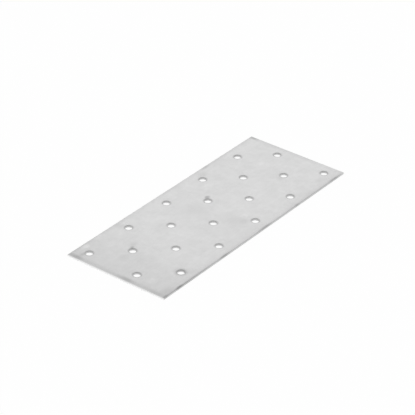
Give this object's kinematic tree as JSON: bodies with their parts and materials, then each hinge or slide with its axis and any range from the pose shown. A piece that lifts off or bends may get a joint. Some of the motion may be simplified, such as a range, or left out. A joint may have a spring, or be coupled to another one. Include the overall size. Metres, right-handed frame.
{
  "type": "mending plate",
  "caption": "Flat rectangular mending plate of galvanised sheet steel, punched all over with staggered round nail holes.",
  "frame": {"origin": "middle of the underside, the face that lies on the timber", "axes": "+X along the plate's length, +Y across its width, +Z out of the punched face"},
  "size_m": [0.2, 0.08, 0.0015],
  "materials": {
    "galvanised_steel": "hot-dip galvanised sheet, matt and faintly clouded, with bare sheared edges and punched holes"
  },
  "bodies": {
    "root": {"plate": "galvanised_steel"}
  },
  "joints": []
}
